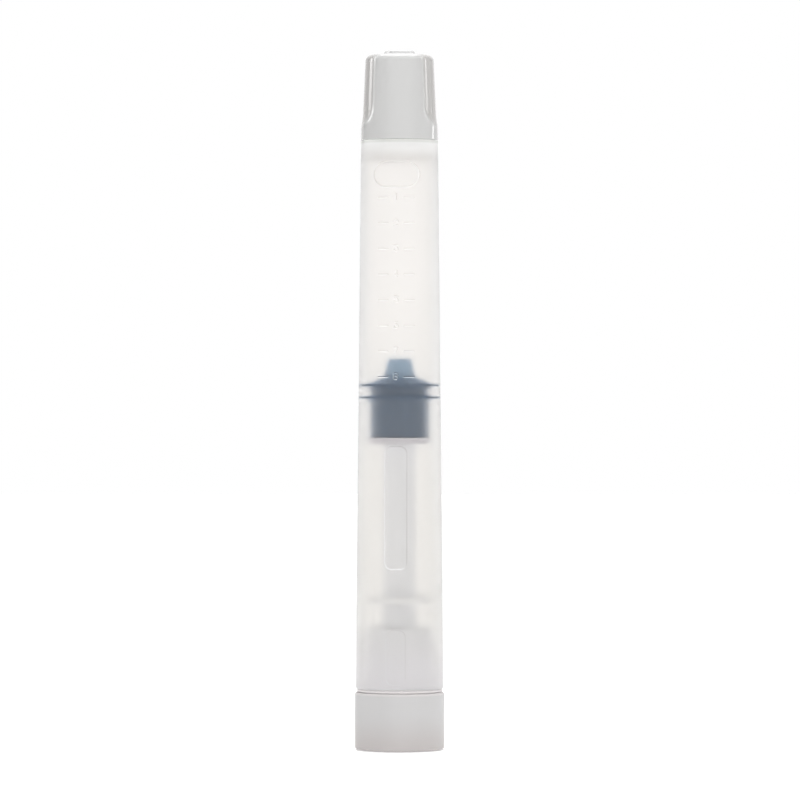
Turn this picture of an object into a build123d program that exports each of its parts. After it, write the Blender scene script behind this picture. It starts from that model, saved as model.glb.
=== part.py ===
"""Oral syringe with a twist base, standing upright on its base knob.

Turning the base knob turns the lead screw inside the hollow plunger. The nut in the
plunger's lower end climbs the screw, so the plunger and its rubber piston rise and
push the medicine out through the nozzle under the cap. Lengths are in millimetres.
"""

import os
from math import cos, radians, sin

from build123d import *

# Overall heights, from the surface that the syringe stands on
knob_height = 12.95
barrel_bottom = 13.7
barrel_top = 138.5
cap_bottom = 138.65
cap_top = 159.1

# Barrel
barrel_radius_bottom = 9.98
barrel_radius_top = 8.77
bore_radius = 7.4
rear_bore_radius = 8.0
rear_bore_top = 29.5
bore_taper_top = 70.0
bore_top = 137.2
bore_corner = 0.5
spigot_radius = 7.3
spigot_wall = 1.3
spigot_top = 143.6
nozzle_root_radius = 4.7
nozzle_tip_radius = 3.1
nozzle_top = 154.2
nose_seat_root_radius = 3.75
nose_seat_tip_radius = 3.0
nose_seat_top = 141.6
outlet_radius = 1.1
snap_centre = 15.6
snap_bead_radius = 7.5
snap_bead_height = 0.7
snap_land = 0.15  # half of the bead's flat crest

# Raised marks on the barrel
scale_turn = -5.4  # degrees from the middle of the cap's front lobe
mark_relief = 0.16
mark_pitch = 5.8  # one millilitre of the bore
mark_count = 8
last_mark_height = 84.7
mark_line_length = 2.7
mark_line_centre = 2.95
mark_stroke = 0.3
digit_width = 0.95
digit_height = 1.65
label_width = 10.6
label_height = 6.0
label_centre = 130.6
panel_width = 5.0
panel_bottom = 41.2
panel_top = 69.0
foot_panel_width = 4.4
foot_panel_bottom = 15.0
foot_panel_top = 27.4
panel_corner = 1.6

# Screw drive: one turn of the knob moves the plunger by one mark
lead = mark_pitch
starts = 2
thread_pitch = lead / starts
screw_radius = 2.2
screw_root_radius = 1.6
screw_bottom = 1.7
screw_top = 70.4
crest_half = 0.45  # half of a ridge's height along the axis, at its crest
thread_slope = 0.3
thread_gap = 0.12

# Plunger
tube_radius = 3.77
tube_bore_radius = 2.7
tube_bottom = 6.0
tube_bore_top = 72.4
head_bottom = 69.5
head_top = 70.9
head_radius = 7.05
stud_radius = 3.6
stud_lip_radius = 4.6
stud_neck_top = 73.6
stud_top = 76.8
stud_taper = 0.6
stud_lip_height = 1.0
stud_lip_ramp = 0.4
nut_radius = 3.1
nut_flange = 0.8
nut_height = 7.2
nut_thread_inset = 1.2
disc_bottom = 33.2
disc_thickness = 1.4
disc_radius = 7.2
disc_notch_radius = 0.8

# Piston
piston_bottom = 71.0
piston_body_radius = 6.5
piston_lip_radius = 7.36
lower_lip_top = 80.3
upper_lip_top = 83.1
lip_contact = 0.25
lip_root = 0.9
nose_root_height = 84.75
nose_root_radius = 3.5
nose_tip_radius = 2.6
nose_top = 88.9

# Drive hub, bearing ring and knob
hub_radius = 7.6
hub_top = 27.6
hub_bore_radius = 4.1
hub_wall = 1.2
hub_flange_radius = 8.6
hub_flange_height = 2.4
hub_socket_floor = 4.6
hub_web_count = 6
hub_web = 0.8
ring_radius = 9.7
ring_bore_radius = 7.75
knob_radius = 10.2
knob_wall = 1.5
knob_floor = 1.6
knob_corner = 0.6
foot_recess = 0.4
foot_rim = 0.8
foot_bevel = 0.4
key_count = 3
key_width = 2.4
key_depth = 1.1

# Cap
cap_skirt_radius = 8.78
cap_skirt_top = 141.5
cap_lobe_radius = 8.34
cap_crown_corner = 1.5
cap_disc_radius = 3.5
cap_disc_height = 1.0
panel_skirt_height = 140.9
panel_ramp_radius = 8.34
panel_ramp_height = 145.0
panel_crown_radius = 7.8
panel_crown_corner = 1.4
recess_half_width = 5.85
recess_bottom = 140.7
recess_corner = 4.4
cavity_radius = 6.9
cavity_top_radius = 6.5
cavity_top = 156.8
cap_lip_radius = 7.4
cap_lip_top = 144.0
cap_boss_radius = 4.1
cap_boss_bottom = 154.5
plug_radius = 2.95
plug_bottom = 154.25
plug_pin_length = 1.8
plug_pin_tip = 0.2

fit = 0.05  # gap between fitted surfaces
sunk = 0.1  # how far a ridge is sunk into the piece it stands on
edge_break = 0.3

# Strokes of each digit, in a box one unit wide and one unit tall
digit_strokes = {
    1: [(0.2, 0.8), (0.55, 1), (0.55, 0)],
    2: [(0, 0.8), (0.2, 1), (0.8, 1), (1, 0.8), (1, 0.6), (0, 0), (1, 0)],
    3: [(0, 1), (1, 1), (0.45, 0.6), (0.8, 0.6), (1, 0.4), (1, 0.2), (0.8, 0), (0.2, 0), (0, 0.2)],
    4: [(0.75, 0), (0.75, 1), (0, 0.3), (1, 0.3)],
    5: [(1, 1), (0.1, 1), (0.1, 0.6), (0.8, 0.6), (1, 0.4), (1, 0.2), (0.8, 0), (0.2, 0), (0, 0.2)],
    6: [
        (0.9, 1), (0.3, 0.9), (0, 0.5), (0, 0.2), (0.2, 0), (0.8, 0), (1, 0.2), (1, 0.4),
        (0.8, 0.6), (0, 0.5),
    ],
    7: [(0, 1), (1, 1), (0.35, 0)],
    8: [
        (0.2, 0.55), (0, 0.7), (0, 0.85), (0.2, 1), (0.8, 1), (1, 0.85), (1, 0.7), (0.8, 0.55),
        (0.2, 0.55), (0, 0.4), (0, 0.15), (0.2, 0), (0.8, 0), (1, 0.15), (1, 0.4), (0.8, 0.55),
    ],
}


def turned(*corners):
    """A solid of revolution about Z, from the (radius, height) corners of its half section."""
    with BuildPart() as solid:
        with BuildSketch(Plane.XZ):
            with BuildLine():
                Polyline(*corners, close=True)
            make_face()
        revolve(axis=Axis.Z)
    return solid.part


def thread(inner, outer, bottom, top, start_angle=0):
    """Helical ridges, one for each start; inner and outer are (radius, half height) of the ridge."""
    (inner_radius, inner_half), (outer_radius, outer_half) = inner, outer
    with BuildPart() as ridge:
        with BuildLine() as path:
            Helix(lead, top - bottom, (inner_radius + outer_radius) / 2, center=(0, 0, bottom))
        with BuildSketch(Plane.XZ):
            with BuildLine():
                Polyline(
                    (inner_radius, bottom - inner_half),
                    (outer_radius, bottom - outer_half),
                    (outer_radius, bottom + outer_half),
                    (inner_radius, bottom + inner_half),
                    close=True,
                )
            make_face()
        sweep(path=path.line, is_frenet=True)
    with BuildPart() as ridges:
        with PolarLocations(0, starts, start_angle=start_angle):
            add(ridge.part)
    return ridges.part


def save(builder, name):
    """Labels a finished piece and writes its file."""
    builder.part.label = name
    export_step(builder.part, f"parts/{name}.step")


os.makedirs("parts", exist_ok=True)

# Base knob: a plain cup that is turned to dispense, with drive keys inside its wall
knob_bore = knob_radius - knob_wall
with BuildPart() as base_knob:
    add(
        turned(
            (0, foot_recess),
            (knob_bore - foot_rim - foot_bevel, foot_recess),
            (knob_bore - foot_rim, 0),
            (knob_radius, 0),
            (knob_radius, knob_height),
            (knob_bore, knob_height),
            (knob_bore, knob_floor),
            (0, knob_floor),
        )
    )
    rims = base_knob.edges().filter_by(GeomType.CIRCLE).group_by(SortBy.RADIUS)[-1]
    fillet(rims.sort_by(Axis.Z)[0], knob_corner)
    chamfer(rims.sort_by(Axis.Z)[-1], edge_break)
    with BuildSketch(Plane.XY.offset(knob_floor)):
        with PolarLocations(knob_bore - key_depth / 2 + sunk, key_count):
            Rectangle(key_depth + 2 * sunk, key_width)
    extrude(amount=hub_flange_height)
save(base_knob, "base_knob")

# Drive hub: two sleeves under one annular top; it turns in the barrel's rear bore
hub_bottom = knob_floor + fit
inner_sleeve = hub_bore_radius + hub_wall
outer_sleeve = hub_radius - hub_wall
snap_groove_radius = snap_bead_radius - 0.2
with BuildPart() as drive_hub:
    add(
        turned(
            (0, hub_bottom),
            (inner_sleeve, hub_bottom),
            (inner_sleeve, hub_top - hub_wall),
            (outer_sleeve, hub_top - hub_wall),
            (outer_sleeve, hub_bottom),
            (hub_flange_radius, hub_bottom),
            (hub_flange_radius, hub_bottom + hub_flange_height),
            (hub_radius, hub_bottom + hub_flange_height),
            (hub_radius, snap_centre - snap_bead_height),
            (snap_groove_radius, snap_centre - snap_bead_height + 0.3),
            (snap_groove_radius, snap_centre + snap_bead_height - 0.3),
            (hub_radius, snap_centre + snap_bead_height),
            (hub_radius, hub_top - edge_break),
            (hub_radius - edge_break, hub_top),
            (hub_bore_radius, hub_top),
            (hub_bore_radius, hub_socket_floor),
            (0, hub_socket_floor),
        )
    )
    # Square socket for the foot of the lead screw
    with BuildSketch(Plane.XY.offset(hub_bottom)):
        Rectangle(2 * screw_root_radius, 2 * screw_root_radius)
    extrude(amount=hub_socket_floor - hub_bottom, mode=Mode.SUBTRACT)
    # Keyways that take the knob's drive keys
    with BuildSketch(Plane.XY.offset(hub_bottom)):
        with PolarLocations(hub_flange_radius - key_depth / 2 + sunk, key_count):
            Rectangle(key_depth + 2 * sunk + 2 * fit, key_width + 2 * fit)
    extrude(amount=hub_flange_height, mode=Mode.SUBTRACT)
    # Webs that join the two sleeves
    with BuildSketch(Plane.XY.offset(hub_bottom)):
        with PolarLocations((inner_sleeve + outer_sleeve) / 2, hub_web_count, start_angle=30):
            Rectangle(outer_sleeve - inner_sleeve + 2 * edge_break, hub_web)
    extrude(amount=hub_top - hub_wall - hub_bottom)
save(drive_hub, "drive_hub")

# Bearing ring between the knob's rim and the barrel's end
with BuildPart() as bearing_ring:
    add(
        turned(
            (ring_bore_radius, knob_height + fit),
            (ring_radius, knob_height + fit),
            (ring_radius, barrel_bottom),
            (ring_bore_radius, barrel_bottom),
        )
    )
    chamfer(bearing_ring.edges().filter_by(GeomType.CIRCLE).group_by(SortBy.RADIUS)[-1], 0.2)
save(bearing_ring, "bearing_ring")

# Lead screw: square foot, round core and a coarse two-start thread
with BuildPart() as lead_screw:
    with BuildSketch(Plane.XY.offset(screw_bottom)):
        Rectangle(2 * (screw_root_radius - fit), 2 * (screw_root_radius - fit))
    extrude(amount=hub_socket_floor - screw_bottom)
    with BuildSketch(Plane.XY.offset(hub_socket_floor)):
        Circle(screw_root_radius)
    extrude(amount=screw_top - hub_socket_floor)
    chamfer(lead_screw.edges().group_by(Axis.Z)[-1], edge_break)
    add(
        thread(
            (screw_root_radius - sunk, crest_half + thread_slope),
            (screw_radius, crest_half),
            tube_bottom + thread_pitch / 2,
            screw_top - thread_pitch / 2,
        )
    )
save(lead_screw, "lead_screw")

# Barrel: tapered tube, front wall, cap spigot and nozzle, with raised marks
label_plane = Plane(
    origin=(0, 0, 0),
    x_dir=(cos(radians(scale_turn)), sin(radians(scale_turn)), 0),
    z_dir=(sin(radians(scale_turn)), -cos(radians(scale_turn)), 0),
)
with BuildPart() as raised_marks:
    with BuildSketch(label_plane):
        for number in range(1, mark_count + 1):
            height = last_mark_height + (mark_count - number) * mark_pitch
            with Locations((-mark_line_centre, height), (mark_line_centre, height)):
                Rectangle(mark_line_length, mark_stroke)
            corners = [
                ((x - 0.5) * digit_width, height + (y - 0.5) * digit_height)
                for x, y in digit_strokes[number]
            ]
            with BuildLine():
                Polyline(*corners)
            trace(line_width=mark_stroke)
        with Locations((0, label_centre)):
            SlotOverall(label_width, label_height)
            SlotOverall(
                label_width - 2 * mark_stroke,
                label_height - 2 * mark_stroke,
                mode=Mode.SUBTRACT,
            )
    with BuildSketch(label_plane):
        with Locations((0, (panel_bottom + panel_top) / 2)):
            RectangleRounded(panel_width, panel_top - panel_bottom, panel_corner)
        with Locations((0, (foot_panel_bottom + foot_panel_top) / 2)):
            RectangleRounded(foot_panel_width, foot_panel_top - foot_panel_bottom, panel_corner)
    extrude(amount=2 * barrel_radius_bottom)
    add(
        turned(
            (barrel_radius_bottom - 1, barrel_bottom),
            (barrel_radius_bottom + mark_relief, barrel_bottom),
            (barrel_radius_top + mark_relief, barrel_top),
            (barrel_radius_top - 1, barrel_top),
        ),
        mode=Mode.INTERSECT,
    )

with BuildPart() as barrel:
    add(
        turned(
            (rear_bore_radius, barrel_bottom),
            (barrel_radius_bottom - edge_break, barrel_bottom),
            (barrel_radius_bottom, barrel_bottom + edge_break),
            (barrel_radius_top, barrel_top - edge_break),
            (barrel_radius_top - edge_break, barrel_top),
            (spigot_radius, barrel_top),
            (spigot_radius, spigot_top - edge_break),
            (spigot_radius - edge_break, spigot_top),
            (spigot_radius - spigot_wall, spigot_top),
            (spigot_radius - spigot_wall, barrel_top),
            (nozzle_root_radius, barrel_top),
            (nozzle_tip_radius, nozzle_top - edge_break),
            (nozzle_tip_radius - edge_break, nozzle_top),
            (outlet_radius, nozzle_top),
            (outlet_radius, nose_seat_top),
            (nose_seat_tip_radius, nose_seat_top),
            (nose_seat_root_radius, bore_top),
            (bore_radius - bore_corner, bore_top),
            (bore_radius, bore_top - bore_corner),
            (bore_radius, bore_taper_top),
            (rear_bore_radius, rear_bore_top),
            (rear_bore_radius, snap_centre + snap_bead_height - 0.2),
            (snap_bead_radius, snap_centre + snap_land),
            (snap_bead_radius, snap_centre - snap_land),
            (rear_bore_radius, snap_centre - snap_bead_height + 0.2),
        )
    )
    add(raised_marks.part)
save(barrel, "barrel")

# Plunger: hollow tube, head flange under the piston and the stud that the piston snaps on
with BuildPart() as plunger_tube:
    add(
        turned(
            (nut_radius + fit, tube_bottom + nut_flange),
            (tube_radius, tube_bottom + nut_flange),
            (tube_radius, head_bottom - edge_break),
            (tube_radius + edge_break, head_bottom),
            (head_radius, head_bottom),
            (head_radius, head_top),
            (stud_radius, head_top),
            (stud_radius, stud_neck_top),
            (stud_lip_radius, stud_neck_top + stud_lip_ramp),
            (stud_lip_radius, stud_neck_top + stud_lip_height),
            (stud_radius - stud_taper, stud_top),
            (0, stud_top),
            (0, tube_bore_top),
            (tube_bore_radius, tube_bore_top),
            (tube_bore_radius, tube_bottom + nut_height + fit),
            (nut_radius + fit, tube_bottom + nut_height + fit),
        )
    )
save(plunger_tube, "plunger_tube")

# Drive nut: flanged bush in the tube's lower end; its ridges run in the screw's grooves
with BuildPart() as drive_nut:
    add(
        turned(
            (screw_radius + thread_gap, tube_bottom),
            (tube_radius, tube_bottom),
            (tube_radius, tube_bottom + nut_flange - fit),
            (nut_radius, tube_bottom + nut_flange - fit),
            (nut_radius, tube_bottom + nut_height),
            (screw_radius + thread_gap, tube_bottom + nut_height),
        )
    )
    # The nut's ridges stand halfway between the screw's, and taper inwards as its grooves do
    groove_half = thread_pitch / 2 - crest_half
    nut_thread_bottom = tube_bottom + nut_thread_inset
    add(
        thread(
            (screw_root_radius + thread_gap, groove_half - thread_slope - thread_gap + 0.05),
            (screw_radius + thread_gap + sunk, groove_half - thread_gap + 0.05),
            nut_thread_bottom,
            tube_bottom + nut_height - nut_thread_inset,
            start_angle=360 * (nut_thread_bottom - tube_bottom) / lead,
        )
    )
save(drive_nut, "drive_nut")

# Guide disc: thin notched disc on the tube that keeps its lower end central in the bore
with BuildPart() as guide_disc:
    with BuildSketch(Plane.XY.offset(disc_bottom)):
        Circle(disc_radius)
        Circle(tube_radius + fit / 2, mode=Mode.SUBTRACT)
        with PolarLocations(disc_radius, 4, start_angle=45):
            Circle(disc_notch_radius, mode=Mode.SUBTRACT)
    extrude(amount=disc_thickness)
save(guide_disc, "guide_disc")

# Rubber piston: two sealing lips, a shallow cone and a blunt nose, hollow for the stud
with BuildPart() as piston_seal:
    add(
        turned(
            (stud_radius + fit, piston_bottom),
            (piston_body_radius, piston_bottom),
            (piston_body_radius, lower_lip_top - lip_contact - lip_root),
            (piston_lip_radius, lower_lip_top - lip_contact),
            (piston_lip_radius, lower_lip_top),
            (piston_body_radius, lower_lip_top + lip_contact),
            (piston_body_radius, upper_lip_top - lip_contact - lip_root),
            (piston_lip_radius, upper_lip_top - lip_contact),
            (piston_lip_radius, upper_lip_top),
            (nose_root_radius + 0.3, nose_root_height - 0.1),
            (nose_root_radius, nose_root_height + 0.2),
            (nose_tip_radius, nose_top - edge_break),
            (nose_tip_radius - edge_break, nose_top),
            (0, nose_top),
            (0, stud_top + fit),
            (stud_radius - stud_taper + fit, stud_top + fit),
            (stud_lip_radius + fit, stud_neck_top + stud_lip_height + fit),
            (stud_lip_radius + fit, stud_neck_top + stud_lip_ramp - fit),
            (stud_radius + fit, stud_neck_top - fit),
        )
    )
save(piston_seal, "piston_seal")

# Cap: moulded shell with a lobe in front and behind and a recessed finger panel on each side
crown_height = cap_top - cap_disc_height
panel_slope = (panel_crown_radius - panel_ramp_radius, crown_height - panel_ramp_height)
with BuildPart() as panel_core:
    with BuildSketch(Plane.XZ):
        with BuildLine():
            ramp = Spline(
                (cap_skirt_radius + 0.02, panel_skirt_height),
                (panel_ramp_radius, panel_ramp_height),
                tangents=((0, 1), panel_slope),
            )
            panel = Line(ramp @ 1, (panel_crown_radius, crown_height - panel_crown_corner))
            corner = RadiusArc(
                panel @ 1,
                (panel_crown_radius - panel_crown_corner, crown_height),
                -panel_crown_corner,
            )
            Polyline(
                corner @ 1,
                (panel_crown_radius - panel_crown_corner - 0.1, cap_top + 1),
                (0, cap_top + 1),
                (0, cap_bottom),
                (cap_skirt_radius + 0.02, cap_bottom),
                ramp @ 0,
            )
        make_face()
    revolve(axis=Axis.Z)

with BuildPart() as side_recesses:
    with BuildSketch(Plane.YZ):
        recess_height = cap_top + recess_corner - recess_bottom
        with Locations((0, recess_bottom + recess_height / 2)):
            RectangleRounded(2 * recess_half_width, recess_height, recess_corner)
    extrude(amount=2 * cap_skirt_radius, both=True)
    add(panel_core.part, mode=Mode.SUBTRACT)

with BuildPart() as cap:
    with BuildSketch(Plane.XZ):
        with BuildLine():
            skirt = Line((cap_skirt_radius, cap_bottom), (cap_skirt_radius, cap_skirt_top))
            lobe = Line(skirt @ 1, (cap_lobe_radius, crown_height - cap_crown_corner))
            crown = RadiusArc(
                lobe @ 1,
                (cap_lobe_radius - cap_crown_corner, crown_height),
                -cap_crown_corner,
            )
            Polyline(
                crown @ 1,
                (cap_disc_radius + 0.2, crown_height),
                (cap_disc_radius, cap_top - 0.4),
                (cap_disc_radius - 0.4, cap_top),
                (0, cap_top),
                (0, cap_bottom),
                skirt @ 0,
            )
        make_face()
    revolve(axis=Axis.Z)
    add(side_recesses.part, mode=Mode.SUBTRACT)
    add(
        turned(
            (0, cap_bottom),
            (cap_lip_radius, cap_bottom),
            (cap_lip_radius, cap_lip_top),
            (cavity_radius, cap_lip_top + 0.5),
            (cavity_top_radius, cavity_top - 1.0),
            (cavity_top_radius - 1.0, cavity_top),
            (cap_boss_radius, cavity_top),
            (cap_boss_radius, cap_boss_bottom),
            (plug_radius + fit, cap_boss_bottom),
            (plug_radius + fit, cavity_top),
            (0, cavity_top),
        ),
        mode=Mode.SUBTRACT,
    )
save(cap, "cap")

# Cap plug: soft stopper in the cap's boss, with a pin that closes the outlet
with BuildPart() as cap_plug:
    add(
        turned(
            (0, plug_bottom - plug_pin_length),
            (outlet_radius - fit - plug_pin_tip, plug_bottom - plug_pin_length),
            (outlet_radius - fit, plug_bottom - plug_pin_length + 2 * plug_pin_tip),
            (outlet_radius - fit, plug_bottom),
            (plug_radius, plug_bottom),
            (plug_radius, cavity_top - fit),
            (0, cavity_top - fit),
        )
    )
save(cap_plug, "cap_plug")
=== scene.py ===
"""Oral syringe with a twist base: materials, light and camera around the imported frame."""

from math import cos, hypot, pi, radians, sin, sqrt

import bpy
import numpy as np
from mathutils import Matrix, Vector


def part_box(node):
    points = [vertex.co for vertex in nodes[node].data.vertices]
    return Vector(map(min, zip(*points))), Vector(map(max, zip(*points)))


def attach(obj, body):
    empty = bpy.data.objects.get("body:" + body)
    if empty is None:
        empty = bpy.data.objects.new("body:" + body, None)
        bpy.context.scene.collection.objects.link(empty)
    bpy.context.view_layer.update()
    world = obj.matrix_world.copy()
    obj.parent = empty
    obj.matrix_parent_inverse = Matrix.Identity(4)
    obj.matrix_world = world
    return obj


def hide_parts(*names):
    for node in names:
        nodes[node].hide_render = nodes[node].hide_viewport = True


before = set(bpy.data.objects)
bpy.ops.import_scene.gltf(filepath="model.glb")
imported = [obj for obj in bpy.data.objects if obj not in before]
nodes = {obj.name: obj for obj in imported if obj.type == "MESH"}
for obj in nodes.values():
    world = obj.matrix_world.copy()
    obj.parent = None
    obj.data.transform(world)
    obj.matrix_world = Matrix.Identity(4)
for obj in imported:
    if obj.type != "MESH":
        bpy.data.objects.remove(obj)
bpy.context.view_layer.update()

MM = 0.001

# Camera: level with the middle of the syringe and far enough away to be nearly parallel
CAMERA_DISTANCE = 1.1
CAMERA_HEIGHT = 0.0795
CAMERA_SIDE = 0.0001
CAMERA_LENS = 217.1

# Barrel, in millimetres
BARREL_RADII = (9.98, 8.77)
BARREL_BOTTOM = 13.7
BARREL_TOP = 138.62  # the shoulder under the cap
BORE_RADIUS = 7.4
REAR_BORE_RADIUS = 8.0
EDGE_BREAK = 0.3
SHOULDER_BREAK = 0.08
FRONT_WALL = 137.2  # where the bore ends
NOZZLE_TOP = 154.2
OUTLET_RADIUS = 1.1

# The barrel's mesh: how far apart its rows (mm) and columns (radians) are, plain and at the marks
PLAIN_ROWS = 2.5
MARK_ROWS = 0.085
MARK_ZONE = (1.0, 1.35)  # millimetres below and above each mark
PLAIN_COLUMNS = radians(1.25)
MARK_COLUMNS = 0.0085
MARK_WINDOW = radians(36.5)  # to each side of the marks' middle

# Milky walls: heights in metres over which their plastic changes, from the lower end up
FOOT_ZONE = (0.0143, 0.03)
CLEARING_ZONE = (0.018, 0.08)
LOWER_ZONE = (0.055, 0.115)
CROWN_ZONE = (0.1332, 0.1371)
SEAM_ZONE = (0.1377, 0.1381)
WALL_REFRACTION = 1.27

# How much of the light the walls pass on: at the foot, at both ends of the clearing zone and on a mark's
# flank where its highlight is painted
FOOT_CLEAR = 0.55
CLEAR_SHARES = (0.85, 0.972)
MARK_CLEAR = 0.6

# Colours of the walls at the foot, lower down, and the painted highlight and painted shade on the flanks of
# a mark
FOOT_TONE = (0.93, 0.912, 0.917)
LOWER_TONE = (0.925, 0.912, 0.893)
LIT_TONE = (1, 1, 1)
SHADED_TONE = (0.72, 0.7, 0.68)

# Darker and lighter shades of the natural white plastic
NATURAL = ((0.875, 0.89, 0.93), (0.91, 0.925, 0.96))

# Raised marks on the barrel, in millimetres
SCALE_TURN = -5.4  # degrees from the middle of the front
RIDGE_HEIGHT = 0.16
RIDGE_HALF_WIDTH = 0.2
MARK_PITCH = 5.8
MARK_COUNT = 8
LAST_MARK = 84.7
MARK_LINES = (1.85, 4.05)  # near and far ends of the two short lines of each mark
DIGIT_WIDTH = 0.85
DIGIT_HEIGHT = 1.35
DIGIT_RISE = 0.2
# Painted highlight and painted shade on the marks: lighter where the relief faces down and to the left,
# darker where it faces up and to the right
LIGHT_STEP = 0.05  # over which a mark's slope is measured
FULL_SLOPE = 0.8  # slope that counts as fully lit or shaded
SIDE_LIGHT = 0.8  # light from the left, compared with the light from below
LABEL_CENTRE = 130.6
LABEL_HALF = (5.15, 2.85)
PANELS = ((2.5, 41.2, 69.0, 1.0), (2.2, 15.0, 27.4, 0.45))  # half width, bottom, top and share of the height
PANEL_ROUNDING = 1.6
DIGIT_STROKES = {
    1: [(0.2, 0.8), (0.55, 1), (0.55, 0)],
    2: [(0, 0.8), (0.2, 1), (0.8, 1), (1, 0.8), (1, 0.6), (0, 0), (1, 0)],
    3: [(0, 1), (1, 1), (0.45, 0.6), (0.8, 0.6), (1, 0.4), (1, 0.2), (0.8, 0), (0.2, 0), (0, 0.2)],
    4: [(0.75, 0), (0.75, 1), (0, 0.3), (1, 0.3)],
    5: [(1, 1), (0.1, 1), (0.1, 0.6), (0.8, 0.6), (1, 0.4), (1, 0.2), (0.8, 0), (0.2, 0), (0, 0.2)],
    6: [
        (0.9, 1), (0.3, 0.9), (0, 0.5), (0, 0.2), (0.2, 0), (0.8, 0), (1, 0.2), (1, 0.4),
        (0.8, 0.6), (0, 0.5),
    ],
    7: [(0, 1), (1, 1), (0.35, 0)],
    8: [
        (0.2, 0.55), (0, 0.7), (0, 0.85), (0.2, 1), (0.8, 1), (1, 0.85), (1, 0.7), (0.8, 0.55),
        (0.2, 0.55), (0, 0.4), (0, 0.15), (0.2, 0), (0.8, 0), (1, 0.15), (1, 0.4), (0.8, 0.55),
    ],
}

# Cap, in millimetres; it stands where the CAD cap's box says
SKIRT_RADIUS = 8.78
SKIRT_HEIGHT = 2.85
LOBE_RADIUS = 8.34
LOBE_CORNER = 1.5
WALL_BOTTOM = 0.15
RAMP_BOTTOM = 2.2
RAMP_TOP = 6.4
RAMP_RADIUS = 8.34
PANEL_RADIUS = 7.8
PANEL_CORNER = 1.4
CAP_TURN = -2.5  # degrees
DISC_RADIUS = 3.5
DISC_HEIGHT = 1.0
RECESS_HALF_WIDTH = 6.3  # along the surface, from the middle of the cap's side
RECESS_CURVE_TOP = 7.35
RECESS_CURVE_HEIGHT = 4.3
ROLLED_EDGE = 2.75  # width of the lobe's rounded flank, along the surface
FLANK_POWER = 3.3
FLANK_START = 0.1  # width of the flat strip beside the flank
RECESS_SHADE_DEPTH = 0.3  # depth below the lobes at which the recess's painted shade is full
DISC_ZONE = (0.15812, 0.15835)  # metres
LIP_RADIUS = 7.4
CAVITY_RADIUS = 6.9
CAVITY_TOP_RADIUS = 6.5
BOSS_RADIUS = 4.1
PLUG_BORE = 3.02

# Piston, in millimetres above its lower end
PISTON_BODY_RADIUS = 6.5
PISTON_LIP_RADIUS = 7.46  # pressed on the bore
PISTON_LIPS = (9.3, 12.1)
LIP_CONTACT = 0.42
LIP_ROOT = 0.9
NOSE_ROOT_HEIGHT = 13.75
NOSE_ROOT_RADIUS = 3.5
NOSE_TIP_RADIUS = 2.6
NOSE_GLOW_ZONE = (0.0125, 0.0155)  # metres above the lower end, where the nose's painted glow sets in

# Plunger head's painted shade and knob rim's painted light, in metres
HEAD_SHADE_ZONE = (0.0692, 0.0698)
RIM_LIGHT_ZONE = (0.0122, 0.0128)
KNOB_FOOT = 0.009

# Lights, in metres
TOP_LIGHT = 2.7  # radiance
STRIP_DISTANCE = 4.0
LEFT_DIMMING = 0.8
RIGHT_DIMMING = 0.52
DIMMED = (0.3, 0.9)  # share of the way to the side where the dimming starts and is full
STRIPS = (
    # name, degrees from the front, width and height, middle above the crown, radiance
    ("left_strip", -106, (1.55, 3.56), 2.21, 4.5),
    ("right_strip", 99, (0.45, 3.56), 2.21, 4.5),
    ("low_strip", 120, (0.4, 0.5), 0.12, 5.5),
)


# ---------------------------------------------------------------- material helpers


def new_material(name, colour, roughness, **sockets):
    """A Principled material; sockets are set on the shader itself by name."""
    material = bpy.data.materials.new(name)
    material.use_nodes = True
    shader = material.node_tree.nodes["Principled BSDF"]
    shader.inputs["Base Color"].default_value = (*colour, 1)
    shader.inputs["Roughness"].default_value = roughness
    for socket, value in sockets.items():
        shader.inputs[socket.replace("_", " ")].default_value = value
    return material, material.node_tree, shader


def add_node(tree, kind, **values):
    """A node with its sockets and properties set by name."""
    node = tree.nodes.new(kind)
    for name, value in values.items():
        socket = name.replace("_", " ")
        if socket in node.inputs:
            node.inputs[socket].default_value = value
        else:
            setattr(node, name, value)
    return node


def noise(tree, scale, detail=3.0, stretch=(1, 1, 1)):
    """Noise over the object's own coordinates in metres; returns its factor output."""
    place = add_node(tree, "ShaderNodeTexCoord")
    mapping = add_node(tree, "ShaderNodeMapping")
    mapping.inputs["Scale"].default_value = stretch
    texture = add_node(tree, "ShaderNodeTexNoise", Scale=scale, Detail=detail)
    tree.links.new(place.outputs["Object"], mapping.inputs["Vector"])
    tree.links.new(mapping.outputs["Vector"], texture.inputs["Vector"])
    return texture.outputs["Fac"]


def remap(tree, value, low, high, start=0.0, end=1.0, smooth=False):
    """Maps a value from start..end to low..high."""
    node = add_node(tree, "ShaderNodeMapRange", To_Min=low, To_Max=high, From_Min=start, From_Max=end)
    if smooth:
        node.interpolation_type = "SMOOTHSTEP"
    tree.links.new(value, node.inputs["Value"])
    return node.outputs["Result"]


def blend_colours(tree, value, first, second):
    """A colour between first and second; each is a colour or another node's output."""
    mix = add_node(tree, "ShaderNodeMix", data_type="RGBA")
    for socket, colour in (("A", first), ("B", second)):
        if isinstance(colour, tuple):
            mix.inputs[socket].default_value = (*colour, 1)
        else:
            tree.links.new(colour, mix.inputs[socket])
    tree.links.new(value, mix.inputs["Factor"])
    return mix.outputs["Result"]


def bump(tree, shader, value, depth, strength=1.0):
    """Surface relief of a depth in metres."""
    node = add_node(tree, "ShaderNodeBump", Strength=strength, Distance=depth)
    tree.links.new(value, node.inputs["Height"])
    tree.links.new(node.outputs["Normal"], shader.inputs["Normal"])


def height_in(tree):
    """Height in metres in the object's own frame, whose zero is the floor at rest."""
    place = add_node(tree, "ShaderNodeTexCoord")
    axes = add_node(tree, "ShaderNodeSeparateXYZ")
    tree.links.new(place.outputs["Object"], axes.inputs["Vector"])
    return axes.outputs["Z"]


def above(tree, value, start, end):
    """0 up to start, rising smoothly to 1 at end."""
    return remap(tree, value, 0.0, 1.0, start, end, smooth=True)


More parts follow.
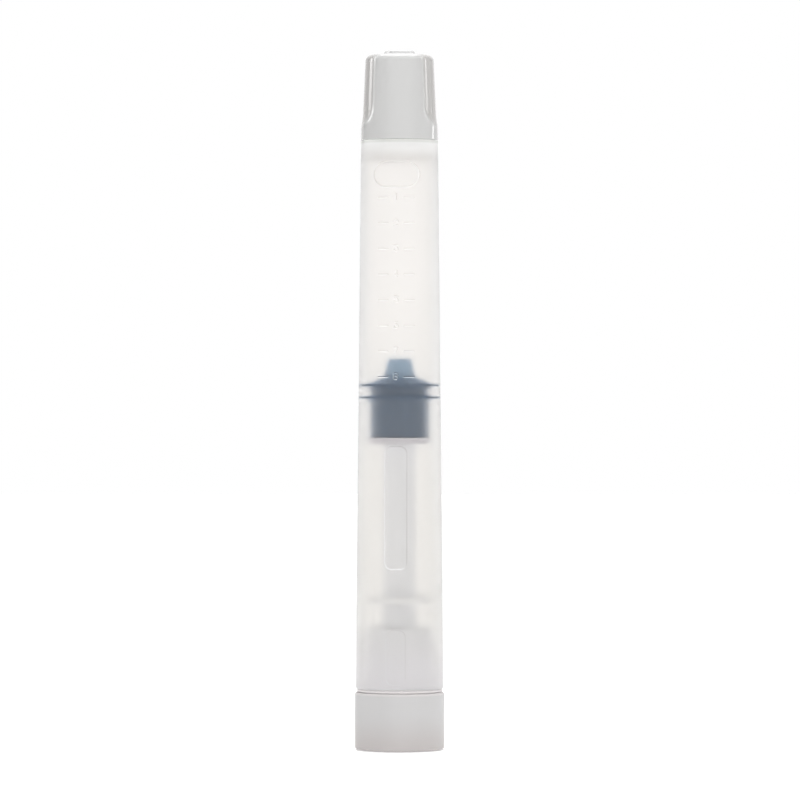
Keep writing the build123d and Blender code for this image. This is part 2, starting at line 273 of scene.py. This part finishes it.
def below(tree, value, start, end):
    """1 up to start, falling smoothly to 0 at end."""
    return remap(tree, value, 1.0, 0.0, start, end, smooth=True)


def stored(tree, name):
    """A number kept on the mesh's points."""
    return add_node(tree, "ShaderNodeAttribute", attribute_name=name).outputs["Fac"]


def mottle(tree, shader, dark, light, roughness):
    """Faint flow mottling between two shades, and uneven gloss."""
    tone = blend_colours(tree, noise(tree, 180, 4, stretch=(1, 1, 0.35)), dark, light)
    tree.links.new(tone, shader.inputs["Base Color"])
    gloss = remap(tree, noise(tree, 420, 5), *roughness)
    tree.links.new(gloss, shader.inputs["Roughness"])


def tint(material, *layers):
    """Lays more colours over a material's own, each by its factor; returns the material."""
    tree = material.node_tree
    base = tree.nodes["Principled BSDF"].inputs["Base Color"]
    tone = base.links[0].from_socket
    for factor, colour in layers:
        tone = blend_colours(tree, factor, tone, colour)
    tree.links.new(tone, base)
    return material


def moulded(name, dark, light, roughness, grain=2500, grain_depth=2e-6, **sockets):
    """Moulded plastic: mottled, with a fine surface grain."""
    material, tree, shader = new_material(name, light, roughness[0], **sockets)
    mottle(tree, shader, dark, light, roughness)
    bump(tree, shader, noise(tree, grain, 2), grain_depth)
    return material


def cap_plastic():
    """White cap plastic, with painted shade in the recessed finger panels and whiter on the raised disc."""
    material = moulded(
        "cap_plastic", (0.595, 0.593, 0.587), (0.62, 0.618, 0.612), (0.1, 0.15),
        Coat_Weight=0.3, Coat_Roughness=0.05,
    )
    tree = material.node_tree
    disc = above(tree, height_in(tree), *DISC_ZONE)
    # the recessed panels get a painted shade, the raised disc a whiter tone
    return tint(material, (stored(tree, "recess_shade"), (0.515, 0.503, 0.49)), (disc, (0.74, 0.74, 0.735)))


def frosted(name, dark, light, closed, crown_share, roughness):
    """Milky polypropylene: clearest round the middle, whiter at the ends; painted highlight and painted
    shade on the raised marks' flanks.
    """
    material, tree, shader = new_material(name, light, roughness, IOR=WALL_REFRACTION)
    mottle(tree, shader, dark, light, (0.95 * roughness, 1.05 * roughness))
    height = height_in(tree)
    foot = below(tree, height, *FOOT_ZONE)
    lower = below(tree, height, *LOWER_ZONE)
    crown = above(tree, height, *CROWN_ZONE)
    seam = above(tree, height, *SEAM_ZONE)
    # painted highlight and painted shade on the marks' flanks, from the stored slope number
    lit = stored(tree, "lit")
    bright = remap(tree, lit, 0.0, 1.0, start=0.05, end=0.6)
    shaded = remap(tree, lit, 0.0, 1.0, start=-0.05, end=-0.6)
    clear = remap(tree, height, *CLEAR_SHARES, *CLEARING_ZONE, smooth=True)
    for factor, share in ((foot, FOOT_CLEAR), (crown, crown_share), (bright, MARK_CLEAR)):
        mixed = add_node(tree, "ShaderNodeMix", data_type="FLOAT")
        tree.links.new(factor, mixed.inputs["Factor"])
        tree.links.new(clear, mixed.inputs["A"])
        mixed.inputs["B"].default_value = share
        clear = mixed.outputs["Result"]
    tree.links.new(clear, shader.inputs["Transmission Weight"])
    return tint(
        material, (lower, LOWER_TONE), (foot, FOOT_TONE), (seam, closed),
        (bright, LIT_TONE), (shaded, SHADED_TONE),
    )


def piston_rubber():
    """Slate blue rubber, painted lighter and bluer on its slimmer nose for the light that shines through it.
    """
    material = moulded(
        "piston_rubber", (0.056, 0.095, 0.157), (0.067, 0.112, 0.185), (0.35, 0.45),
        Sheen_Weight=1.0, Sheen_Roughness=0.35, Sheen_Tint=(0.33, 0.62, 1.0, 1),
    )
    tree = material.node_tree
    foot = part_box("piston_seal")[0].z
    # painted glow of light through the slimmer nose
    nose = above(tree, height_in(tree), foot + NOSE_GLOW_ZONE[0], foot + NOSE_GLOW_ZONE[1])
    return tint(material, (nose, (0.27, 0.4, 0.54)))


def plunger_plastic():
    """Natural white, with painted shade on the head, which lies under the dark rubber."""
    material = moulded("plunger_plastic", *NATURAL, (0.35, 0.45))
    tree = material.node_tree
    # painted shade on the head
    head = above(tree, height_in(tree), *HEAD_SHADE_ZONE)
    return tint(material, (head, (0.69, 0.68, 0.73)))


def knob_plastic():
    """Pale satin plastic, a touch warmer and darker towards its foot, with painted light along its upper
    rim.
    """
    material = moulded("knob_plastic", (0.55, 0.543, 0.543), (0.58, 0.573, 0.573), (0.38, 0.48))
    tree = material.node_tree
    height = height_in(tree)
    low = remap(tree, height, 0.75, 0.0, start=0.0, end=KNOB_FOOT, smooth=True)
    # painted light along the upper rim
    rim = above(tree, height, *RIM_LIGHT_ZONE)
    return tint(material, (low, (0.5, 0.463, 0.453)), (rim, (0.66, 0.63, 0.63)))


materials = {
    "barrel": frosted(
        "frosted_barrel", (0.965, 0.962, 0.955), (0.985, 0.982, 0.975),
        closed=(0.83, 0.84, 0.81), crown_share=0.3, roughness=0.3,
    ),
    "bore": frosted(
        "frosted_bore", (0.966, 0.94, 0.919), (0.981, 0.956, 0.935),
        closed=(0.98, 0.97, 0.96), crown_share=0.9, roughness=0.42,
    ),
    "piston_seal": piston_rubber(),
    "cap": cap_plastic(),
    "cap_plug": moulded("plug_rubber", (0.6, 0.6, 0.62), (0.68, 0.68, 0.7), (0.5, 0.6)),
    "base_knob": knob_plastic(),
    "bearing_ring": moulded("ring_plastic", (0.78, 0.75, 0.75), (0.82, 0.79, 0.79), (0.35, 0.45)),
    "screw": moulded("screw_plastic", (0.72, 0.72, 0.69), (0.8, 0.8, 0.77), (0.25, 0.35)),
    "natural": moulded("natural_plastic", *NATURAL, (0.35, 0.45)),
    "plunger_tube": plunger_plastic(),
    "guide_disc": moulded("disc_plastic", (0.94, 0.95, 0.975), (0.97, 0.98, 1.0), (0.35, 0.45)),
}
shared_materials = {"lead_screw": "screw", "drive_nut": "screw", "drive_hub": "natural"}
for name, node in nodes.items():
    node.data.materials.clear()
    node.data.materials.append(materials[shared_materials.get(name, name)])


# ---------------------------------------------------------------- pieces made here


def mesh_object(name, points, faces, material):
    """A smooth-shaded object from points in millimetres."""
    mesh = bpy.data.meshes.new(name)
    mesh.from_pydata([(x * MM, y * MM, z * MM) for x, y, z in points], [], faces)
    mesh.materials.append(material)
    mesh.polygons.foreach_set("use_smooth", [True] * len(mesh.polygons))
    piece = bpy.data.objects.new(name, mesh)
    bpy.context.scene.collection.objects.link(piece)
    return piece


def closed_rows(rows, bottom, top):
    """Points and faces of a closed skin over rings of points, ended by a point at each end."""
    count = len(rows[0])
    points = [point for row in rows for point in row] + [bottom, top]
    faces = []
    for k in range(len(rows) - 1):
        for i in range(count):
            j = (i + 1) % count
            a, b = k * count, (k + 1) * count
            faces.append((a + i, a + j, b + j, b + i))
    last = (len(rows) - 1) * count
    for i in range(count):
        j = (i + 1) % count
        faces.append((len(points) - 2, j, i))
        faces.append((len(points) - 1, last + i, last + j))
    return points, faces


def ring(radius, height, angles):
    """A ring of points about the Z axis."""
    return [(radius * cos(a), radius * sin(a), height) for a in angles]


def even_angles(count):
    """Evenly spaced angles round a full turn."""
    return [2 * pi * i / count for i in range(count)]


def soften(corners, reach, steps=4):
    """A (radius, height) profile with each inner corner rounded off."""
    path = [corners[0]]
    for before, here, after in zip(corners, corners[1:], corners[2:]):
        to_before = (before[0] - here[0], before[1] - here[1])
        to_after = (after[0] - here[0], after[1] - here[1])
        near = min(reach, 0.45 * hypot(*to_before), 0.45 * hypot(*to_after))
        for n in range(steps + 1):
            t = n / steps
            back = near * (1 - t) ** 2 / hypot(*to_before)
            ahead = near * t * t / hypot(*to_after)
            path.append(tuple(here[k] + to_before[k] * back + to_after[k] * ahead for k in (0, 1)))
    path.append(corners[-1])
    return path


def make_piston():
    """Rubber piston whose lips press on the bore, hollow for the plunger's stud."""
    low, high = (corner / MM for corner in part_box("piston_seal"))
    foot, tip = low.z, high.z
    corners = [
        (0, foot + 5.85), (3.05, foot + 5.85), (4.65, foot + 3.65), (4.65, foot + 2.95),
        (3.65, foot + 2.55), (3.65, foot), (PISTON_BODY_RADIUS, foot),
    ]
    for lip in PISTON_LIPS:
        corners += [
            (PISTON_BODY_RADIUS, foot + lip - LIP_CONTACT - LIP_ROOT),
            (PISTON_LIP_RADIUS, foot + lip - LIP_CONTACT),
            (PISTON_LIP_RADIUS, foot + lip),
        ]
        if lip == PISTON_LIPS[0]:
            corners.append((PISTON_BODY_RADIUS, foot + lip + LIP_CONTACT))
    corners += [
        (NOSE_ROOT_RADIUS + 0.3, foot + NOSE_ROOT_HEIGHT - 0.1),
        (NOSE_ROOT_RADIUS, foot + NOSE_ROOT_HEIGHT + 0.2),
        (NOSE_TIP_RADIUS, tip),
        (0, tip),
    ]
    path = soften(corners, 0.2)
    rows = [ring(r, z, even_angles(192)) for r, z in path[1:-1]]
    points, faces = closed_rows(rows, (0, 0, path[0][1]), (0, 0, path[-1][1]))
    piece = mesh_object("piston", points, faces, materials["piston_seal"])
    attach(piece, "plunger")
    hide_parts("piston_seal")


def segment_distance(u, z, start, end):
    """Distance of each point (u, z) from a straight stroke."""
    du, dz = end[0] - start[0], end[1] - start[1]
    share = np.clip(((u - start[0]) * du + (z - start[1]) * dz) / (du * du + dz * dz), 0, 1)
    return np.hypot(u - start[0] - share * du, z - start[1] - share * dz)


def box_distance(u, z, centre, half, rounding):
    """Distance of each point from a rounded rectangle's outline, negative inside it."""
    qu = np.abs(u) - half[0] + rounding
    qz = np.abs(z - centre) - half[1] + rounding
    outside = np.hypot(np.maximum(qu, 0), np.maximum(qz, 0))
    return outside + np.minimum(np.maximum(qu, qz), 0) - rounding


def relief(u, z):
    """Height of the raised marks at points (u across, z up) of the barrel's front."""
    nearest = np.abs(box_distance(u, z, LABEL_CENTRE, LABEL_HALF, LABEL_HALF[1]))
    for number, strokes in DIGIT_STROKES.items():
        height = LAST_MARK + (MARK_COUNT - number) * MARK_PITCH
        near, far = MARK_LINES
        for side in (-1, 1):
            line = segment_distance(u, z, (side * near, height), (side * far, height))
            nearest = np.minimum(nearest, line)
        spots = [
            ((x - 0.5) * DIGIT_WIDTH, height + DIGIT_RISE + (y - 0.5) * DIGIT_HEIGHT) for x, y in strokes
        ]
        for start, end in zip(spots, spots[1:]):
            nearest = np.minimum(nearest, segment_distance(u, z, start, end))
    ridge = np.clip(1 - (nearest / RIDGE_HALF_WIDTH) ** 2, 0, 1) ** 1.5
    for half_width, bottom, top, share in PANELS:
        edge = box_distance(u, z, (bottom + top) / 2, (half_width, (top - bottom) / 2), PANEL_ROUNDING)
        rise = np.clip(0.5 - edge / (2 * RIDGE_HALF_WIDTH), 0, 1)
        ridge = np.maximum(ridge, share * rise * rise * (3 - 2 * rise))
    return RIDGE_HEIGHT * ridge


def relief_light(u, z):
    """How much the relief at each point faces down and to the left, from -1 to 1: how lit or shaded the mark
    is painted there.
    """
    step = LIGHT_STEP
    upward = relief(u, z + step) - relief(u, z - step)
    rightward = relief(u + step, z) - relief(u - step, z)
    return np.clip((upward + SIDE_LIGHT * rightward) / (2 * step) / FULL_SLOPE, -1, 1)


def spaced(start, end, step):
    """Evenly spaced numbers from start up to, but without, end."""
    count = max(1, round((end - start) / step))
    return [start + (end - start) * k / count for k in range(count)]


def barrel_heights():
    """Heights of the barrel's rows: close together at the marks, far apart between them."""
    marks = [LAST_MARK + k * MARK_PITCH for k in range(MARK_COUNT)]
    zones = [(mark - MARK_ZONE[0], mark + MARK_ZONE[1]) for mark in marks]
    zones.append((LABEL_CENTRE - LABEL_HALF[1] - 0.4, LABEL_CENTRE + LABEL_HALF[1] + 0.4))
    for _, bottom, top, _ in PANELS:
        zones += [(bottom - 0.4, bottom + PANEL_ROUNDING), (top - PANEL_ROUNDING, top + 0.4)]
    heights, reached = [], BARREL_BOTTOM + EDGE_BREAK
    for start, end in sorted(zones):
        heights += spaced(reached, start, PLAIN_ROWS) + spaced(start, end, MARK_ROWS)
        reached = end
    last = BARREL_TOP - SHOULDER_BREAK
    return heights + spaced(reached, last, PLAIN_ROWS) + [last]


def make_barrel():
    """Tapered barrel with its front wall, cap spigot and nozzle, and the marks moulded on its front."""
    front = radians(SCALE_TURN - 90)
    offsets = spaced(-MARK_WINDOW, MARK_WINDOW, MARK_COLUMNS)
    offsets += spaced(MARK_WINDOW, 2 * pi - MARK_WINDOW, PLAIN_COLUMNS)
    angles = np.array(offsets) + front
    # Across the front in radii; points behind are put far away from every mark
    across = np.where(np.cos(offsets) > 0, np.sin(offsets), 10.0)
    rows, lit = [], []
    for height in barrel_heights():
        share = (height - BARREL_BOTTOM) / (BARREL_TOP - BARREL_BOTTOM)
        radius = BARREL_RADII[0] + (BARREL_RADII[1] - BARREL_RADII[0]) * share
        spots = (radius * across, np.full(len(offsets), height))
        lifted = radius + relief(*spots)
        # how lit or shaded each point is painted, from the marks' slopes
        lit += relief_light(*spots).tolist()
        rows.append([(r * cos(a), r * sin(a), height) for r, a in zip(lifted.tolist(), angles.tolist())])
    spigot = [
        (BARREL_RADII[1] - SHOULDER_BREAK, BARREL_TOP), (7.3, BARREL_TOP), (7.3, 143.6), (6.0, 143.6),
        (6.0, BARREL_TOP), (4.7, BARREL_TOP), (3.1, NOZZLE_TOP), (OUTLET_RADIUS, NOZZLE_TOP),
    ]
    bore = [
        (OUTLET_RADIUS, 141.6), (3.0, 141.6), (3.75, FRONT_WALL), (BORE_RADIUS, FRONT_WALL),
        (BORE_RADIUS, 70.0), (REAR_BORE_RADIUS, 29.5), (REAR_BORE_RADIUS, 16.1), (7.5, 15.75), (7.5, 15.45),
        (REAR_BORE_RADIUS, 15.1), (REAR_BORE_RADIUS, BARREL_BOTTOM),
        (BARREL_RADII[0] - EDGE_BREAK, BARREL_BOTTOM),
    ]
    turned = angles.tolist()
    spigot_rows = [ring(r, z, turned) for r, z in soften(spigot, 0.3)]
    bore_rows = [ring(r, z, turned) for r, z in soften(bore, 0.3)]
    rings = rows + spigot_rows + bore_rows
    count = len(turned)
    points = [point for row in rings for point in row]
    faces = []
    for k in range(len(rings)):
        following = (k + 1) % len(rings)
        for i in range(count):
            j = (i + 1) % count
            faces.append((k * count + i, k * count + j, following * count + j, following * count + i))
    piece = mesh_object("barrel_shell", points, faces, materials["barrel"])
    piece.data.materials.append(materials["bore"])
    lit += [0.0] * (len(points) - len(lit))
    piece.data.attributes.new("lit", "FLOAT", "POINT").data.foreach_set("value", lit)
    outer = (len(rows) + len(spigot_rows)) * count
    inside = [int(outer <= n < len(faces) - count) for n in range(len(faces))]
    piece.data.polygons.foreach_set("material_index", inside)
    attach(piece, "barrel_body")
    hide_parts("barrel")


def smooth(t):
    """Smooth step from 0 to 1."""
    t = min(max(t, 0.0), 1.0)
    return t * t * (3 - 2 * t)


def make_cap():
    """Cap shell: lobes with rolled flanks in front and behind, and a recessed panel on each side."""
    low, high = (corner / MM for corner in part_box("cap"))
    foot, crown = low.z, high.z - DISC_HEIGHT

    def lobe_radius(height):
        share = (height - SKIRT_HEIGHT) / (crown - foot - LOBE_CORNER - SKIRT_HEIGHT)
        return SKIRT_RADIUS + max(share, 0) * (LOBE_RADIUS - SKIRT_RADIUS)

    def panel_radius(height):
        if height < RAMP_TOP:
            share = smooth((height - RAMP_BOTTOM) / (RAMP_TOP - RAMP_BOTTOM))
            return SKIRT_RADIUS + share * (RAMP_RADIUS - SKIRT_RADIUS)
        share = (height - RAMP_TOP) / (crown - foot - PANEL_CORNER - RAMP_TOP)
        return RAMP_RADIUS + share * (PANEL_RADIUS - RAMP_RADIUS)

    # Rows of the outside from the rim to the disc: (lobe radius, height, panel radius, height)
    wall_top = crown - foot - LOBE_CORNER
    profile = [(SKIRT_RADIUS - inset, rise) * 2 for inset, rise in ((0.15, 0.0), (0.04, 0.05))]
    wall_rows = 72
    for k in range(wall_rows + 1):
        height = WALL_BOTTOM + (wall_top - WALL_BOTTOM) * k / wall_rows
        profile.append((lobe_radius(height), height, panel_radius(height), height))
    corner_rows = 12
    for k in range(1, corner_rows + 1):
        angle = pi / 2 * k / corner_rows
        profile.append((
            LOBE_RADIUS - LOBE_CORNER * (1 - cos(angle)),
            crown - foot - LOBE_CORNER * (1 - sin(angle)),
            PANEL_RADIUS - PANEL_CORNER * (1 - cos(angle)),
            crown - foot - PANEL_CORNER * (1 - sin(angle)),
        ))
    # The raised disc: how far each row is outside its radius and above the crown
    disc = ((0.35, 0.0), (0.12, 0.06), (0, 0.25), (-0.02, 0.6), (-0.12, 0.85), (-0.35, 0.97), (-0.7, 1.0))
    profile += [(DISC_RADIUS + outset, crown - foot + rise) * 2 for outset, rise in disc]

    # Columns of one quarter, from the middle of a side to the middle of a lobe
    panel_steps, flank_steps, lobe_steps = 16, 14, 10

    def quarter(height):
        reach = 1.0
        if height < RECESS_CURVE_TOP:
            drop = min((RECESS_CURVE_TOP - height) / RECESS_CURVE_HEIGHT, 0.995)
            reach = sqrt(1 - drop * drop)
        edge = RECESS_HALF_WIDTH * reach / SKIRT_RADIUS
        flank = ROLLED_EDGE / SKIRT_RADIUS
        columns = [(edge * k / panel_steps, 0.0) for k in range(panel_steps)]
        columns.append((edge - FLANK_START / SKIRT_RADIUS, 0.0))
        for k in range(flank_steps):
            left = 1 - k / flank_steps
            columns.append((edge + flank * (1 - left), 1 - left ** FLANK_POWER))
        for k in range(lobe_steps + 1):
            columns.append((edge + flank + (pi / 2 - edge - flank) * k / lobe_steps, 1.0))
        return columns

    def columns_at(height):
        """(angle, share of the lobe's profile) round the whole turn."""
        first = quarter(height)
        half = first[:-1] + [(pi - a, share) for a, share in reversed(first)][:-1]
        return half + [(pi + a, share) for a, share in half]

    outside, recess_shade = [], []
    for r_lobe, z_lobe, r_panel, z_panel in profile:
        row = []
        for angle, share in columns_at(z_lobe):
            radius = r_panel + (r_lobe - r_panel) * share
            height = z_panel + (z_lobe - z_panel) * share
            turned = angle + radians(CAP_TURN)
            row.append((radius * cos(turned), radius * sin(turned), foot + height))
            # painted shade: the deeper a point lies below the lobe, the darker its colour
            recess_shade.append(min((r_lobe - radius) / RECESS_SHADE_DEPTH, 1.0))
        outside.append(row)

    angles = [angle + radians(CAP_TURN) for angle, _ in columns_at(0.0)]
    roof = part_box("cap_plug")[1].z / MM + 0.05
    inside = [
        (PLUG_BORE, roof), (PLUG_BORE, roof - 2.3), (BOSS_RADIUS, roof - 2.3), (BOSS_RADIUS, roof),
        (CAVITY_TOP_RADIUS - 1, roof), (CAVITY_TOP_RADIUS, roof - 1), (CAVITY_RADIUS, foot + 5.85),
        (LIP_RADIUS, foot + 5.35), (LIP_RADIUS, foot),
    ]
    path = soften([(0, roof)] + inside + [(SKIRT_RADIUS, foot)], 0.25)[1:-1]
    hollow = [ring(r, z, angles) for r, z in path]
    points, faces = closed_rows(hollow + outside, (0, 0, roof), (0, 0, high.z))
    piece = mesh_object("cap_shell", points, faces, materials["cap"])
    values = [0.0] * (len(hollow) * len(angles)) + recess_shade + [0.0, 0.0]
    piece.data.attributes.new("recess_shade", "FLOAT", "POINT").data.foreach_set("value", values)
    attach(piece, "cap_body")
    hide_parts("cap")


make_barrel()
make_piston()
make_cap()


# ---------------------------------------------------------------- floor, light and camera


def add_floor():
    """A plain white floor, bright enough to merge with the white surroundings."""
    bpy.ops.mesh.primitive_plane_add(size=6, location=(0, 0, -0.0002))
    floor = bpy.context.object
    floor.name = "floor"
    material, _, shader = new_material("floor_white", (0.9, 0.9, 0.9), 0.9)
    shader.inputs["Emission Color"].default_value = (1, 1, 1, 1)
    shader.inputs["Emission Strength"].default_value = 0.3
    floor.data.materials.append(material)


def combine(tree, operation, first, second):
    """The result of a math node; each value is a number or another node's output."""
    node = add_node(tree, "ShaderNodeMath", operation=operation)
    for socket, value in zip(node.inputs, (first, second)):
        if isinstance(value, float):
            socket.default_value = value
        else:
            tree.links.new(value, socket)
    return node.outputs[0]


def add_world():
    """A surround that is white seen straight or through plastic, and dimmer at the sides for other light."""
    world = bpy.data.worlds.new("white_surround")
    world.use_nodes = True
    tree = world.node_tree
    backdrop = tree.nodes["Background"]
    backdrop.inputs["Color"].default_value = (1, 1, 1, 1)
    place = add_node(tree, "ShaderNodeTexCoord")
    axes = add_node(tree, "ShaderNodeSeparateXYZ")
    tree.links.new(place.outputs["Generated"], axes.inputs["Vector"])
    start, end = DIMMED
    right = remap(tree, axes.outputs["X"], 0.0, RIGHT_DIMMING, start, end, smooth=True)
    left = remap(tree, axes.outputs["X"], 0.0, LEFT_DIMMING, -start, -end, smooth=True)
    path = add_node(tree, "ShaderNodeLightPath")
    straight = combine(tree, "MAXIMUM", path.outputs["Is Camera Ray"], path.outputs["Is Transmission Ray"])
    other = combine(tree, "SUBTRACT", 1.0, straight)
    shade = combine(tree, "MULTIPLY", combine(tree, "ADD", right, left), other)
    tree.links.new(combine(tree, "SUBTRACT", 1.0, shade), backdrop.inputs["Strength"])
    bpy.context.scene.world = world


def add_softbox(name, place, target, size, radiance, soft=True):
    """A rectangular studio light the camera doesn't see; one that isn't soft only shows as a reflection."""
    data = bpy.data.lights.new(name, "AREA")
    data.shape = "RECTANGLE"
    data.size, data.size_y = size
    data.energy = radiance * pi * size[0] * size[1]
    lamp = bpy.data.objects.new(name, data)
    lamp.location = place
    lamp.rotation_euler = (Vector(target) - Vector(place)).to_track_quat("-Z", "Y").to_euler()
    lamp.visible_camera = False
    lamp.visible_transmission = False
    lamp.visible_diffuse = soft
    bpy.context.scene.collection.objects.link(lamp)


def add_lights():
    """A softbox over the cap, and narrow ones beside it that draw its bright edge lines."""
    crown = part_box("cap")[1].z
    add_softbox("top_light", (0, 0.02, crown + 0.4), (0, 0, crown), (0.45, 0.45), TOP_LIGHT)
    for name, turn, size, rise, radiance in STRIPS:
        beside = (STRIP_DISTANCE * sin(radians(turn)), -STRIP_DISTANCE * cos(radians(turn)))
        add_softbox(name, (*beside, crown + rise), (0, 0, crown + rise), size, radiance, soft=False)


def add_camera():
    """The camera, looking level along +Y."""
    data = bpy.data.cameras.new("camera")
    data.lens = CAMERA_LENS
    data.sensor_width = 36
    data.clip_start = 0.01
    camera = bpy.data.objects.new("camera", data)
    camera.location = (CAMERA_SIDE, -CAMERA_DISTANCE, CAMERA_HEIGHT)
    camera.rotation_euler = (radians(90), 0, 0)
    bpy.context.scene.collection.objects.link(camera)
    bpy.context.scene.camera = camera


add_floor()
add_world()
add_lights()
add_camera()
bpy.context.scene.view_settings.view_transform = "Standard"
